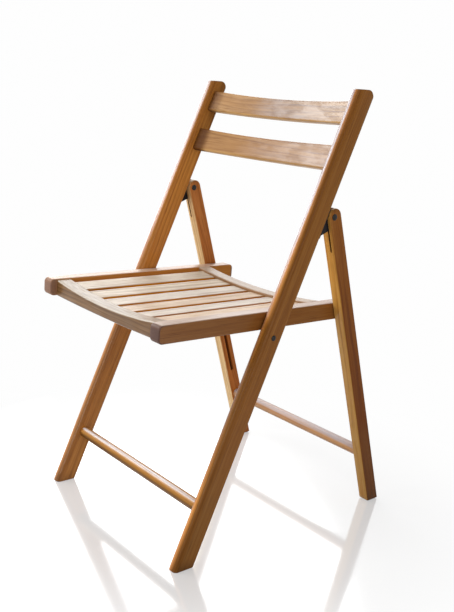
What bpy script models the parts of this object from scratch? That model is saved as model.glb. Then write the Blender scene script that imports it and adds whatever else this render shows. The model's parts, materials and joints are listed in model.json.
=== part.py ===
import bpy
import bmesh
from math import cos, hypot, pi, radians, sin, sqrt, tan

# A folding chair of varnished wood. Each front leg runs up into a back post, the rear legs hang
# on steel brackets behind the posts, and the slatted seat turns between the posts while its rear
# pins slide in grooves of the rear legs. Metres, +Z up; the sitter faces -Y with +X to the left.

# Fits
GAP = 0.0003               # between faces that meet
STOCK = 0.0225             # thickness of the posts and of the rear legs
SEAT_SIDE_CLEAR = 0.0024   # between a post and the seat rail beside it

# Front frame
OVERALL_HEIGHT = 0.800
FRAME_WIDTH = 0.419        # over the outer faces of the posts
POST_LEAN = radians(22.8)
POST_DEPTH = 0.0355
POST_FRONT_ROUND = 0.0078
POST_TOP_ROUND = 0.0115
POST_EASE = 0.0014
FRONT_STRETCHER_UP = 0.1047    # along the post from the floor
STRETCHER_RADIUS = 0.0107
STRETCHER_SOCKET = 0.013

# Back slats, bowed backwards, with a top edge that dips in the middle
UPPER_SLAT_DROP = 0.0235   # from the post's top down to the slat
UPPER_SLAT_HEIGHT = 0.0418
UPPER_SLAT_BOW = 0.0090
LOWER_SLAT_HEIGHT = 0.0445
LOWER_SLAT_BOW = 0.0030
BACK_SLAT_SPACE = 0.0395   # between the two slats
BACK_SLAT_THICK = 0.0130
BACK_SLAT_DIP = 0.0032
BACK_SLAT_EDGE = 0.0030
BACK_TENON = 0.0100
BACK_SHOULDER = 0.0030

# Rear legs
LEG_LEAN = radians(18.2)
LEG_WIDTH = 0.0282
LEG_EASE = 0.0014
LEG_HINGE_OFFSET = 0.0028  # the hinge lies this far ahead of the leg's centre line
REAR_STRETCHER_HEIGHT = 0.1079

# Leg hinge
HINGE_UP = 0.6485          # along the post from the floor
HINGE_RIVET_RADIUS = 0.0030
HINGE_HEAD_RADIUS = 0.0057
HEAD_HEIGHT = 0.0024
FLANGE_THICK = 0.0025
FLANGE_WIDTH = 0.0112
FLANGE_BELOW = 0.0445      # from the hinge down to the flange's lower end
FLANGE_ABOVE = 0.0085
LEG_FOLD_CLEAR = 0.0018    # between the flange and the folded leg
BLADE_THICK = 0.0030
BLADE_OFFSET = 0.0034      # blade and kerf, outwards from the stock's middle
BLADE_ROUND = 0.0095       # steel around the hinge hole
BLADE_HEEL_DOWN = 0.0208   # lower rear corner of the blade, from the hinge
BLADE_HEEL_BACK = 0.0088
BLADE_INSET = 0.0010
KERF_CLEAR = 0.0007        # behind the blade's round end
KERF_FULL = 0.0300         # full depth down to here, from the hinge
KERF_LENGTH = 0.0650

# Seat frame
SEAT_PIVOT_UP = 0.4174     # along the post from the floor
SEAT_TILT = radians(0.68)  # rear lower than front
PIVOT_DROP = 0.0083        # from the rail's lower edge down to the pivot
PIVOT_RIVET_RADIUS = 0.0028
PIVOT_HEAD_RADIUS = 0.0048
PLATE_ROUND = 0.0092
PLATE_HALF_WIDTH = 0.0085
PLATE_RISE = 0.0265
PLATE_CORNER = 0.0030
RAIL_HEIGHT = 0.0313
RAIL_THICK = 0.0250
RAIL_REACH = 0.2196        # from the pivot to the rail's front end
RAIL_TAIL = 0.0340         # from the guide pin to the rail's rear end
RAIL_END_ROUND = 0.0085
RAIL_EASE = 0.0022
CROSS_SETBACK = 0.0135     # the front cross rail behind the side rails' front ends
CROSS_DEPTH = 0.0302
FRONT_CROSS_HEIGHT = 0.0202    # in the middle
FRONT_CROSS_DROP = 0.0142  # middle of the front cross rail's top, below the side rails' top
REAR_CROSS_DROP = 0.0103
CROSS_EDGE = 0.0032
CROSS_TENON = 0.0120
CROSS_SHOULDER = 0.0060
REAR_CROSS_LEAD = 0.0281   # the rear cross rail ahead of the guide pin
SEAT_DISH = 0.0118         # the seat's sides above its middle
REAR_DISH = 0.0101         # the same of the rear cross rail's top
UNDER_DISH = 0.0023        # the same of the cross rails' lower edge

# Seat slats
SEAT_SLATS = 6
SLAT_GAP = 0.0096
SLAT_SIDE_GAP = 0.0118     # between an outer slat and the side rail
SLAT_THICK = 0.0120
SLAT_EDGE = 0.0020
SLAT_SINK = 0.0014         # top of the slats, below the front cross rail's top
TONGUE = 0.0080
TONGUE_SHOULDER = 0.0030

# Guide pins
PIN_RADIUS = 0.0034
PIN_SHOULDER_RADIUS = 0.0070
GROOVE_DEPTH = 0.0080
GROOVE_RUNOUT = 0.0270     # groove left below the pin of the folded chair

# Colours, linear
WOOD = (0.37, 0.165, 0.055)
PALE_WOOD = (0.47, 0.245, 0.095)
BLACK_STEEL = (0.018, 0.017, 0.016)
BRIGHT_STEEL = (0.42, 0.41, 0.39)

# Places that follow from the sizes. Front frame: y behind the post's centre line, z along it.
# Rear frame: the hinge at its origin, z up the leg. Seat: the pivot at its origin, y to the rear.
frame_out = FRAME_WIDTH / 2
frame_in = frame_out - STOCK
blade_mid = (frame_out + frame_in) / 2 + BLADE_OFFSET
rail_out = frame_in - SEAT_SIDE_CLEAR
rail_in = rail_out - RAIL_THICK
post_top = OVERALL_HEIGHT / cos(POST_LEAN)

flange_front = POST_DEPTH / 2 + GAP
flange_back = flange_front + FLANGE_THICK
leg_front = LEG_HINGE_OFFSET - LEG_WIDTH / 2
leg_back = LEG_HINGE_OFFSET + LEG_WIDTH / 2
hinge_back = flange_back + LEG_FOLD_CLEAR - leg_front
hinge_height = HINGE_UP * cos(POST_LEAN) - hinge_back * sin(POST_LEAN)
hinge_y = HINGE_UP * sin(POST_LEAN) + hinge_back * cos(POST_LEAN)
fold_angle = POST_LEAN + LEG_LEAN
seat_angle = POST_LEAN - SEAT_TILT

rail_bottom = PIVOT_DROP
rail_top = PIVOT_DROP + RAIL_HEIGHT
rail_front = -RAIL_REACH

# The guide pin sits at the rail's middle height where the rail crosses the leg's groove.
pin_v = rail_bottom + RAIL_HEIGHT / 2
lean = fold_angle - seat_angle
to_pivot_b = -hinge_back
to_pivot_s = SEAT_PIVOT_UP - HINGE_UP
pivot_off = to_pivot_b * cos(fold_angle) + to_pivot_s * sin(fold_angle)
pivot_along = -to_pivot_b * sin(fold_angle) + to_pivot_s * cos(fold_angle)
pin_u = (LEG_HINGE_OFFSET - pivot_off - pin_v * sin(lean)) / cos(lean)
pin_rest = pivot_along - pin_u * sin(lean) + pin_v * cos(lean)

# Folded, the leg lies along the post and the pin has slid down its groove.
pin_arm = hypot(pin_u, pin_v)
groove_back = hinge_back + LEG_HINGE_OFFSET
pin_folded = SEAT_PIVOT_UP - sqrt(pin_arm ** 2 - groove_back ** 2) - HINGE_UP
rail_rear = pin_u + RAIL_TAIL

front_cross_top = rail_top - FRONT_CROSS_DROP
rear_cross_top = rail_top - REAR_CROSS_DROP
cross_bottom = front_cross_top - FRONT_CROSS_HEIGHT
slat_top = front_cross_top - SLAT_SINK
front_cross = (rail_front + CROSS_SETBACK, rail_front + CROSS_SETBACK + CROSS_DEPTH)
rear_cross = (pin_u - REAR_CROSS_LEAD - CROSS_DEPTH, pin_u - REAR_CROSS_LEAD)

# Middle of the chair's depth, between the seat's nose and the rear feet
pivot_y = SEAT_PIVOT_UP * sin(POST_LEAN)
nose_y = pivot_y - RAIL_REACH * cos(SEAT_TILT)
heel_drop = (hinge_height + leg_back * sin(LEG_LEAN)) / cos(LEG_LEAN)
heel_y = hinge_y + leg_back * cos(LEG_LEAN) + heel_drop * sin(LEG_LEAN)
middle_y = (nose_y + heel_y) / 2


def clear_scene():
    for item in list(bpy.data.objects):
        bpy.data.objects.remove(item)


def frame(name, parent, place, turn):
    # An empty that carries one frame of the chair; it lies on that frame's joint axis.
    item = bpy.data.objects.new(name, None)
    item.empty_display_size = 0.05
    item.location = place
    item.rotation_euler = (turn, 0, 0)
    item.parent = parent
    bpy.context.scene.collection.objects.link(item)
    return item


def piece(name, bm, parent):
    bmesh.ops.recalc_face_normals(bm, faces=bm.faces)
    mesh = bpy.data.meshes.new(name)
    bm.to_mesh(mesh)
    bm.free()
    mesh.shade_smooth()
    mesh.set_sharp_from_angle(angle=radians(35))
    item = bpy.data.objects.new(name, mesh)
    item.parent = parent
    bpy.context.scene.collection.objects.link(item)
    return item


def finish(item, colour, roughness, metallic=0.0):
    material = bpy.data.materials.new(item.name)
    material.use_nodes = True
    shader = material.node_tree.nodes["Principled BSDF"]
    shader.inputs["Base Color"].default_value = (*colour, 1)
    shader.inputs["Roughness"].default_value = roughness
    shader.inputs["Metallic"].default_value = metallic
    item.data.materials.append(material)


def loft(rings):
    # Closed skin through rings of equal count, with flat ends.
    bm = bmesh.new()
    loops = [[bm.verts.new(point) for point in ring] for ring in rings]
    for near, far in zip(loops, loops[1:]):
        for i in range(len(near)):
            j = (i + 1) % len(near)
            bm.faces.new((near[i], near[j], far[j], far[i]))
    bm.faces.new(loops[0])
    bm.faces.new(loops[-1])
    return bm


def prism(outline, x_low, x_high):
    # Board with a side outline of (y, z) points, from x_low to x_high.
    return loft([[(x, y, z) for y, z in outline] for x in (x_low, x_high)])


def box(x_span, y_span, z_span):
    (y0, y1), (z0, z1) = y_span, z_span
    return prism([(y0, z0), (y1, z0), (y1, z1), (y0, z1)], *x_span)


def circle(y, z, radius, count):
    steps = [2 * pi * i / count for i in range(count)]
    return [(y + radius * cos(a), z + radius * sin(a)) for a in steps]


def turned(profile, y=0.0, z=0.0, count=24):
    # Round piece along X through (y, z), from a profile of (x, radius) points.
    return loft([[(x, *p) for p in circle(y, z, r, count)] for x, r in profile])


def rounded(low, high, radius, steps=2):
    # Rectangle between two corners with rounded corners.
    (a0, b0), (a1, b1) = low, high
    r = min(radius, 0.45 * (a1 - a0), 0.45 * (b1 - b0))
    middles = ((a1 - r, b1 - r), (a0 + r, b1 - r), (a0 + r, b0 + r), (a1 - r, b0 + r))
    points = []
    for quarter, (a, b) in enumerate(middles):
        for i in range(steps + 1):
            angle = pi / 2 * (quarter + i / steps)
            points.append((a + r * cos(angle), b + r * sin(angle)))
    return points


def hull(points):
    # Outline of the least convex shape that holds all points.
    ordered = sorted(points)
    chains = []
    for run in (ordered, ordered[::-1]):
        chain = []
        for p in run:
            while len(chain) > 1 and turn(chain[-2], chain[-1], p) <= 1e-10:
                chain.pop()
            chain.append(p)
        chains.append(chain[:-1])
    return chains[0] + chains[1]


def turn(a, b, c):
    return (b[0] - a[0]) * (c[1] - a[1]) - (b[1] - a[1]) * (c[0] - a[0])


def ease(item, width, segments=2):
    step = item.modifiers.new("eased edges", "BEVEL")
    step.width = width
    step.segments = segments
    step.limit_method = "ANGLE"
    step.angle_limit = radians(40)


def join(item, operation, bm, label):
    tool = piece("cut_" + item.name + "_" + label, bm, item.parent)
    tool.hide_render = True
    tool.display_type = "WIRE"
    step = item.modifiers.new(label, "BOOLEAN")
    step.operation = operation
    step.object = tool


def cut(item, bm, label):
    join(item, "DIFFERENCE", bm, label)


def spread(side, near, far):
    # Ordered X span on one side of the chair.
    return tuple(sorted((side * near, side * far)))


def past(value, step=0.002):
    # A little beyond a face, so that a cut opens cleanly.
    return value + step


def post(side, parent):
    front, back = -POST_DEPTH / 2, POST_DEPTH / 2
    slope = tan(POST_LEAN)
    corner = post_top + back * slope
    # The rounded rear corner of the top touches the rear face and the level top.
    r = POST_TOP_ROUND
    bend = pi / 2 + POST_LEAN
    touch = r * tan(bend / 2)
    middle = (back - r, corner - touch)
    arc = [(middle[0] + r * cos(a), middle[1] + r * sin(a)) for a in (bend * i / 7 for i in range(8))]
    outline = [(front, front * slope), (back, back * slope), *arc, (front, post_top + front * slope)]
    bm = prism(outline, *spread(side, frame_in, frame_out))
    lengthwise = [e for e in bm.edges if all(abs(v.co.y - front) < 1e-6 for v in e.verts)
                  and abs(e.verts[0].co.x - e.verts[1].co.x) < 1e-6]
    r_front = min(POST_FRONT_ROUND, 0.45 * STOCK)
    bmesh.ops.bevel(bm, geom=lengthwise, offset=r_front, segments=5, profile=0.5, affect="EDGES")
    item = piece("post_left" if side > 0 else "post_right", bm, parent)
    ease(item, POST_EASE)
    inner = frame_in + STRETCHER_SOCKET + GAP
    hole = [(x, STRETCHER_RADIUS + GAP) for x in spread(side, past(frame_in, -0.002), inner)]
    cut(item, turned(hole, z=FRONT_STRETCHER_UP), "stretcher")
    for label, (low, high) in back_slat_spans().items():
        tenon = (low + BACK_SHOULDER - GAP, high - BACK_SHOULDER + GAP)
        half = BACK_SLAT_THICK / 2 - BACK_SHOULDER + GAP
        span = spread(side, past(frame_in, -0.002), frame_in + BACK_TENON + GAP)
        cut(item, box(span, (-half, half), tenon), label)
    bore = [(x, PIVOT_RIVET_RADIUS + GAP) for x in spread(side, past(frame_in, -0.002), past(frame_out))]
    cut(item, turned(bore, z=SEAT_PIVOT_UP, count=16), "pivot")
    finish(item, WOOD, 0.35)


def back_slat_spans():
    # Lower and upper edge of each back slat along the post.
    upper = post_top - UPPER_SLAT_DROP
    lower = upper - UPPER_SLAT_HEIGHT - BACK_SLAT_SPACE
    return {"upper": (upper - UPPER_SLAT_HEIGHT, upper), "lower": (lower - LOWER_SLAT_HEIGHT, lower)}


def back_slat(label, span, bow, parent, stations=16):
    low, high = span
    shoulder = frame_in - GAP
    half = BACK_SLAT_THICK / 2
    thin = half - BACK_SHOULDER

    def ring(x, mid, edges, depth):
        return [(x, mid + y, z) for y, z in rounded((-depth, edges[0]), (depth, edges[1]), BACK_SLAT_EDGE)]

    tenon = (low + BACK_SHOULDER, high - BACK_SHOULDER)
    end = frame_in + BACK_TENON
    rings = [ring(-end, 0, tenon, thin), ring(-shoulder, 0, tenon, thin)]
    for i in range(stations + 1):
        x = shoulder * (2 * i / stations - 1)
        belly = 1 - (x / shoulder) ** 2
        rings.append(ring(x, bow * belly, (low, high - BACK_SLAT_DIP * belly), half))
    rings += [ring(shoulder, 0, tenon, thin), ring(end, 0, tenon, thin)]
    item = piece("back_slat_" + label, loft(rings), parent)
    finish(item, PALE_WOOD, 0.32)


def stretcher(name, y, z, parent):
    end = frame_in + STRETCHER_SOCKET
    r = STRETCHER_RADIUS
    chamfer = 0.12 * r
    profile = [(-end, r - chamfer), (chamfer - end, r), (end - chamfer, r), (end, r - chamfer)]
    item = piece(name, turned(profile, y, z), parent)
    finish(item, WOOD, 0.35)


def hinge_bracket(side, parent):
    # A flange on the post's rear face with an upright blade for the leg's kerf.
    span = spread(side, blade_mid - FLANGE_WIDTH / 2, blade_mid + FLANGE_WIDTH / 2)
    low, high = HINGE_UP - FLANGE_BELOW, HINGE_UP + FLANGE_ABOVE
    item = piece("hinge_bracket_" + side_name(side), box(span, (flange_front, flange_back), (low, high)), parent)
    root = (flange_front + flange_back) / 2
    corners = [(root, low + BLADE_INSET), (root, high - BLADE_INSET)]
    heel = (hinge_back + BLADE_HEEL_BACK, HINGE_UP - BLADE_HEEL_DOWN)
    outline = hull(corners + [heel] + circle(hinge_back, HINGE_UP, BLADE_ROUND, 28))
    span = spread(side, blade_mid - BLADE_THICK / 2, blade_mid + BLADE_THICK / 2)
    join(item, "UNION", prism(outline, *span), "blade")
    bore = [(x, HINGE_RIVET_RADIUS + GAP) for x in spread(side, blade_mid - BLADE_THICK, blade_mid + BLADE_THICK)]
    cut(item, turned(bore, hinge_back, HINGE_UP, 16), "rivet")
    finish(item, BLACK_STEEL, 0.45, 1.0)


def side_name(side):
    return "left" if side > 0 else "right"


def rivet(name, side, span, shank, head, place, parent):
    # Plain rivet with a low dome at both ends; span is the work that it clamps.
    inner, outer = span
    dome = [(0.0, 1.0), (0.45, 0.93), (0.8, 0.68), (1.0, 0.3)]
    profile = [(inner - GAP - HEAD_HEIGHT * h, head * r) for h, r in dome[::-1]]
    profile += [(inner - GAP, shank), (outer + GAP, shank)]
    profile += [(outer + GAP + HEAD_HEIGHT * h, head * r) for h, r in dome]
    item = piece(name, turned([(side * x, r) for x, r in profile], *place, 20), parent)
    finish(item, BLACK_STEEL, 0.4, 1.0)


def rear_leg(side, parent):
    # The foot is cut level with the floor; the top is a half round about the hinge's height.
    def floor_at(b):
        return -(hinge_height + b * sin(LEG_LEAN)) / cos(LEG_LEAN)

    r = LEG_WIDTH / 2
    top = [(LEG_HINGE_OFFSET + r * cos(pi * i / 14), r * sin(pi * i / 14)) for i in range(15)]
    outline = [(leg_front, floor_at(leg_front)), (leg_back, floor_at(leg_back)), *top]
    bm = prism(outline, *spread(side, frame_in, frame_out))
    item = piece("rear_leg_" + side_name(side), bm, parent)
    ease(item, LEG_EASE)

    depth = BLADE_ROUND + KERF_CLEAR
    clear = past(leg_front, -0.004)
    above = past(r, 0.004)
    kerf = [(clear, above), (depth, above), (depth, -KERF_FULL), (leg_front, -KERF_LENGTH), (clear, -KERF_LENGTH)]
    half = BLADE_THICK / 2 + GAP
    cut(item, prism(kerf, *spread(side, blade_mid - half, blade_mid + half)), "kerf")
    bore = [(x, HINGE_RIVET_RADIUS + GAP) for x in spread(side, past(frame_in, -0.002), past(frame_out))]
    cut(item, turned(bore, count=16), "rivet")

    r_groove = PIN_RADIUS + GAP
    ends = [(LEG_HINGE_OFFSET, z) for z in (pin_rest, pin_folded - GROOVE_RUNOUT)]
    groove = hull([p for end in ends for p in circle(*end, r_groove, 20)])
    cut(item, prism(groove, *spread(side, past(frame_in, -0.002), frame_in + GROOVE_DEPTH)), "groove")
    socket = [(x, STRETCHER_RADIUS + GAP) for x in
              spread(side, past(frame_in, -0.002), frame_in + STRETCHER_SOCKET + GAP)]
    cut(item, turned(socket, LEG_HINGE_OFFSET, rear_stretcher_along()), "stretcher")
    finish(item, PALE_WOOD, 0.35)


def rear_stretcher_along():
    lift = LEG_HINGE_OFFSET * sin(LEG_LEAN)
    return (REAR_STRETCHER_HEIGHT - hinge_height - lift) / cos(LEG_LEAN)


def guide_pin(side, parent):
    # The shoulder fills the space between rail and leg; the shank runs in the groove.
    shoulder_in, shoulder_out = rail_out + GAP, frame_in - GAP
    tip = frame_in + GROOVE_DEPTH - GAP
    profile = [(shoulder_in, PIN_SHOULDER_RADIUS), (shoulder_out, PIN_SHOULDER_RADIUS),
               (shoulder_out, PIN_RADIUS), (tip - PIN_RADIUS / 4, PIN_RADIUS), (tip, PIN_RADIUS * 3 / 4)]
    bm = turned([(side * x, r) for x, r in profile], count=20)
    item = piece("guide_pin_" + side_name(side), bm, parent)
    finish(item, BRIGHT_STEEL, 0.35, 1.0)


def dish(x, rise=SEAT_DISH):
    # Rise from the seat's middle towards the side rails.
    return rise * (x / rail_in) ** 2


def seat_rail(side, parent):
    outline = rounded((rail_front, rail_bottom), (rail_rear, rail_top), RAIL_END_ROUND, 5)
    item = piece("seat_rail_" + side_name(side), prism(outline, *spread(side, rail_in, rail_out)), parent)
    ease(item, RAIL_EASE)
    span = spread(side, past(rail_in, -0.002), rail_in + CROSS_TENON + GAP)
    for label in ("front", "rear"):
        (u0, v0), (u1, v1) = cross_tenon(label)
        cut(item, box(span, (u0 - GAP, u1 + GAP), (v0 - GAP, v1 + GAP)), label)
    finish(item, WOOD, 0.35)


def cross_shape(label):
    # Front and rear face of a cross rail, the middle of its top, and the top's rise to the sides.
    if label == "front":
        return front_cross, front_cross_top, SEAT_DISH
    return rear_cross, rear_cross_top, REAR_DISH


def cross_tenon(label):
    # Corners of a cross rail's tenon, in the plane of the side rail.
    ends, top, rise = cross_shape(label)
    low = (ends[0] + CROSS_SHOULDER, cross_bottom + UNDER_DISH + CROSS_SHOULDER)
    high = (ends[1] - CROSS_SHOULDER, top + rise - CROSS_SHOULDER)
    return low, high


def cross_rail(label, inward, parent, stations=16):
    ends, top, rise = cross_shape(label)
    shoulder = rail_in - GAP
    end = rail_in + CROSS_TENON

    def ring(x):
        low = (ends[0], cross_bottom + dish(x, UNDER_DISH))
        high = (ends[1], top + dish(x, rise))
        return [(x, u, v) for u, v in rounded(low, high, CROSS_EDGE, 3)]

    def tenon(x):
        return [(x, u, v) for u, v in rounded(*cross_tenon(label), CROSS_EDGE / 2, 3)]

    body = [ring(shoulder * (2 * i / stations - 1)) for i in range(stations + 1)]
    bm = loft([tenon(-end), tenon(-shoulder), *body, tenon(shoulder), tenon(end)])
    item = piece("seat_" + label + "_rail", bm, parent)

    # Groove for the slats' tongues, along the dish.
    mouth = ends[1] if inward > 0 else ends[0]
    u_span = sorted((mouth - inward * (TONGUE + GAP), mouth + inward * 0.002))
    reach = shoulder - SLAT_SIDE_GAP / 2
    rings = []
    for i in range(stations + 1):
        x = reach * (2 * i / stations - 1)
        high = slat_top - TONGUE_SHOULDER + GAP + dish(x)
        low = slat_top - SLAT_THICK + TONGUE_SHOULDER - GAP + dish(x)
        rings.append([(x, u_span[0], low), (x, u_span[1], low), (x, u_span[1], high), (x, u_span[0], high)])
    cut(item, loft(rings), "groove")
    finish(item, WOOD, 0.35)


def seat_slat(index, parent):
    pitch = (2 * (rail_in - SLAT_SIDE_GAP) + SLAT_GAP) / SEAT_SLATS
    half = (pitch - SLAT_GAP) / 2
    x_mid = pitch * (index + 0.5) - pitch * SEAT_SLATS / 2
    front, rear = front_cross[1], rear_cross[0]

    def ring(u, inset, edge):
        low = (x_mid - half + inset, slat_top - SLAT_THICK + inset)
        high = (x_mid + half - inset, slat_top - inset)
        return [(x, u, v + dish(x)) for x, v in rounded(low, high, edge)]

    rings = [ring(front - TONGUE, TONGUE_SHOULDER, SLAT_EDGE / 4),
             ring(front + GAP, TONGUE_SHOULDER, SLAT_EDGE / 4),
             ring(front + GAP, 0, SLAT_EDGE),
             ring(rear - GAP, 0, SLAT_EDGE),
             ring(rear - GAP, TONGUE_SHOULDER, SLAT_EDGE / 4),
             ring(rear + TONGUE, TONGUE_SHOULDER, SLAT_EDGE / 4)]
    item = piece("seat_slat_" + str(index + 1), loft(rings), parent)
    finish(item, PALE_WOOD, 0.3)


def pivot_plate(side, parent):
    # Plate in the space beside the rail. It leans with the post, which hides it, and hangs below
    # the rail to the pivot.
    lean_in = PLATE_RISE * tan(seat_angle)
    corners = [(lean_in + k * PLATE_HALF_WIDTH, PLATE_RISE) for k in (-1, 1)]
    outline = hull(circle(0, 0, PLATE_ROUND, 28) + [p for c in corners for p in circle(*c, PLATE_CORNER, 16)])
    span = spread(side, rail_out + GAP, frame_in - GAP)
    item = piece("seat_pivot_plate_" + side_name(side), prism(outline, *span), parent)
    bore = [(x, PIVOT_RIVET_RADIUS + GAP) for x in spread(side, past(rail_out, -0.002), past(frame_in))]
    cut(item, turned(bore, count=16), "rivet")
    finish(item, BLACK_STEEL, 0.45, 1.0)


clear_scene()
chair = frame("chair", None, (0, -middle_y, 0), 0)
front_frame = frame("front_frame", chair, (0, 0, 0), -POST_LEAN)
rear_frame = frame("rear_frame", front_frame, (0, hinge_back, HINGE_UP), fold_angle)
seat = frame("seat", front_frame, (0, 0, SEAT_PIVOT_UP), seat_angle)
pins = frame("pins", rear_frame, (0, LEG_HINGE_OFFSET, pin_rest), 0)

for side in (1, -1):
    post(side, front_frame)
    hinge_bracket(side, front_frame)
    rivet("seat_pivot_" + side_name(side), side, (rail_out + GAP, frame_out),
          PIVOT_RIVET_RADIUS, PIVOT_HEAD_RADIUS, (0, SEAT_PIVOT_UP), front_frame)
    rear_leg(side, rear_frame)
    rivet("hinge_rivet_" + side_name(side), side, (frame_in, frame_out),
          HINGE_RIVET_RADIUS, HINGE_HEAD_RADIUS, (0, 0), rear_frame)
    seat_rail(side, seat)
    pivot_plate(side, seat)
    guide_pin(side, pins)

for label, bow in (("upper", UPPER_SLAT_BOW), ("lower", LOWER_SLAT_BOW)):
    back_slat(label, back_slat_spans()[label], bow, front_frame)
stretcher("front_stretcher", 0, FRONT_STRETCHER_UP, front_frame)
stretcher("rear_stretcher", LEG_HINGE_OFFSET, rear_stretcher_along(), rear_frame)
cross_rail("front", 1, seat)
cross_rail("rear", -1, seat)
for index in range(SEAT_SLATS):
    seat_slat(index, seat)
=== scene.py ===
import json
import math
import bmesh
import bpy
import numpy as np
from mathutils import Matrix, Vector


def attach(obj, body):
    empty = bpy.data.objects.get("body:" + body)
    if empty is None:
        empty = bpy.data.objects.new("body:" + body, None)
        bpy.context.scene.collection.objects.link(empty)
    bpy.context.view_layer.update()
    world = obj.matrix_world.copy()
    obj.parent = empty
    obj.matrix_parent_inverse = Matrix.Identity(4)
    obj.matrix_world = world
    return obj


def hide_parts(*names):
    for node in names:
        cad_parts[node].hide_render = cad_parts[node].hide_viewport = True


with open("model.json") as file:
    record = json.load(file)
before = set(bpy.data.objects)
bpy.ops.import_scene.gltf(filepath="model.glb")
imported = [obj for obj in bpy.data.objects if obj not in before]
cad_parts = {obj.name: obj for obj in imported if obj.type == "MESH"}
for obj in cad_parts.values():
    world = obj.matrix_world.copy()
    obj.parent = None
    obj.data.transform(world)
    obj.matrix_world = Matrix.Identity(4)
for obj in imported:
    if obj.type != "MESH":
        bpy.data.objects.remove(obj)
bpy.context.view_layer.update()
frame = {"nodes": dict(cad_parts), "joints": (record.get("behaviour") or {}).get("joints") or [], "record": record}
print("frame loaded with", len(frame["nodes"]), "solids")

# The chair's three wooden frames: where their own axes start, and how far those lean about X
jointPlace = {j["name"]: np.array(j.get("pos_m", (0, 0, 0)), float) for j in frame["joints"]}
footLine = np.array([0, frame["record"]["mounts"][0]["pos_m"][1], 0])
stand = {
    "front_frame": {"origin": footLine, "lean": math.radians(-22.8)},
    "rear_frame": {"origin": jointPlace["leg_fold"], "lean": math.radians(18.2)},
    "seat": {"origin": jointPlace["seat_fold"], "lean": math.radians(-0.68)},
}
sides = {"left": 1, "right": -1}


def intoChair(local, body):
    # turn the local y and z about X by the frame's lean, then shift to its origin
    c, s = math.cos(stand[body]["lean"]), math.sin(stand[body]["lean"])
    x, y, z = local[..., 0], local[..., 1], local[..., 2]
    return np.stack([x, y * c - z * s, y * s + z * c], axis=-1) + stand[body]["origin"]


def rise(value, start, over):
    # 0 up to start, then straight up to 1 over the given length
    return np.clip((value - start) / over, 0, 1)


class Wire:
    # a node socket that can be used in sums; make() adds any other node to the same tree
    def __init__(self, tree, socket=None):
        self.tree, self.socket = tree, socket

    def make(self, kind, settings=None, sockets=None, out=0):
        node = self.tree.nodes.new(kind)
        for label, value in (settings or {}).items():
            if label == "stops":
                ramp = node.color_ramp
                while len(ramp.elements) < len(value):
                    ramp.elements.new(0.5)
                for element, (position, colour) in zip(ramp.elements, value):
                    element.position, element.color = position, (*colour, 1)
            else:
                setattr(node, label, value)
        for label, value in (sockets or {}).items():
            if isinstance(value, Wire):
                self.tree.links.new(value.socket, node.inputs[label])
            else:
                node.inputs[label].default_value = value
        return Wire(self.tree, node.outputs[out])

    def sum(self, operation, *values):
        return self.make("ShaderNodeMath", {"operation": operation}, dict(enumerate(values)))

    def __add__(self, other): return self.sum("ADD", self, other)
    def __radd__(self, other): return self.sum("ADD", other, self)
    def __sub__(self, other): return self.sum("SUBTRACT", self, other)
    def __rsub__(self, other): return self.sum("SUBTRACT", other, self)
    def __mul__(self, other): return self.sum("MULTIPLY", self, other)
    def __rmul__(self, other): return self.sum("MULTIPLY", other, self)
    def __pow__(self, other): return self.sum("POWER", self, other)

    def fract(self): return self.sum("FRACT", self)

    def ramp(self, low, high):
        # 0 below low, 1 above high, smooth between
        return self.make("ShaderNodeMapRange", {"interpolation_type": "SMOOTHSTEP"},
                         {"Value": self, "From Min": low, "From Max": high})

    def vector(self, operation, *values, out=0):
        return self.make("ShaderNodeVectorMath", {"operation": operation}, dict(enumerate(values)), out)

    def scaled(self, factors): return self.vector("MULTIPLY", self, factors)
    def shifted(self, other): return self.vector("ADD", self, other)
    def length(self): return self.vector("LENGTH", self, out="Value")

    def noise(self, factors, detail, rough, out="Fac"):
        return self.make("ShaderNodeTexNoise", {}, {
            "Vector": self.scaled(factors), "Scale": 1.0, "Detail": detail, "Roughness": rough}, out)

    def blended(self, colour, factor, mode="MIX"):
        return self.make("ShaderNodeMix", {"data_type": "RGBA", "blend_type": mode},
                         {0: factor, 6: self, 7: (*colour, 1)}, 2)


def newFinish(name):
    material = bpy.data.materials.new(name)
    material.use_nodes = True
    tree = material.node_tree
    return material, Wire(tree), tree.nodes["Principled BSDF"]


def connect(shader, wires, constants):
    for label, wire in wires.items():
        wire.tree.links.new(wire.socket, shader.inputs[label])
    for label, value in constants.items():
        shader.inputs[label].default_value = value


# What all boards share. Noises: scales across, across and along the grain, detail, roughness
timber = {
    "sway": ((11, 11, 3.2), 2.0, 0.5), "fine": ((90, 90, 3.5), 2.0, 0.5), "fibres": ((420, 420, 7), 3.0, 0.62),
    "streaks": ((170, 170, 2.4), 3.0, 0.6), "pores": ((1100, 1100, 24), 1.0, 0.5),
    "broad": ((20, 20, 2.6), 2.0, 0.5), "patches": ((55, 55, 26), 4.0, 0.7),
    "poreRange": (0.60, 0.72), "broadRange": (0.35, 0.75), "patchRange": (0.38, 0.62), "fibreRange": (0.34, 0.66),
    "jitter": 0.7, "lateCurve": 2.2, "lateEnd": (0.86, 1.0), "fibreDepth": 0.6, "figureBase": 0.32,
    "show": {"warm": 0.55, "pore": 0.4, "endAndShadeColour": 0.8, "edgeColour": 0.22}, "tintAndSheenGap": 0.5,
    "fibreHeight": 0.4, "lateHeight": 0.35, "poreDepth": 0.9, "bump": 0.16, "bumpDepth": 0.0004,
    "fibreRough": 0.16, "endRough": 0.2, "endDull": 0.45, "poreDull": 0.15, "specular": 0.08}


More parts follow.
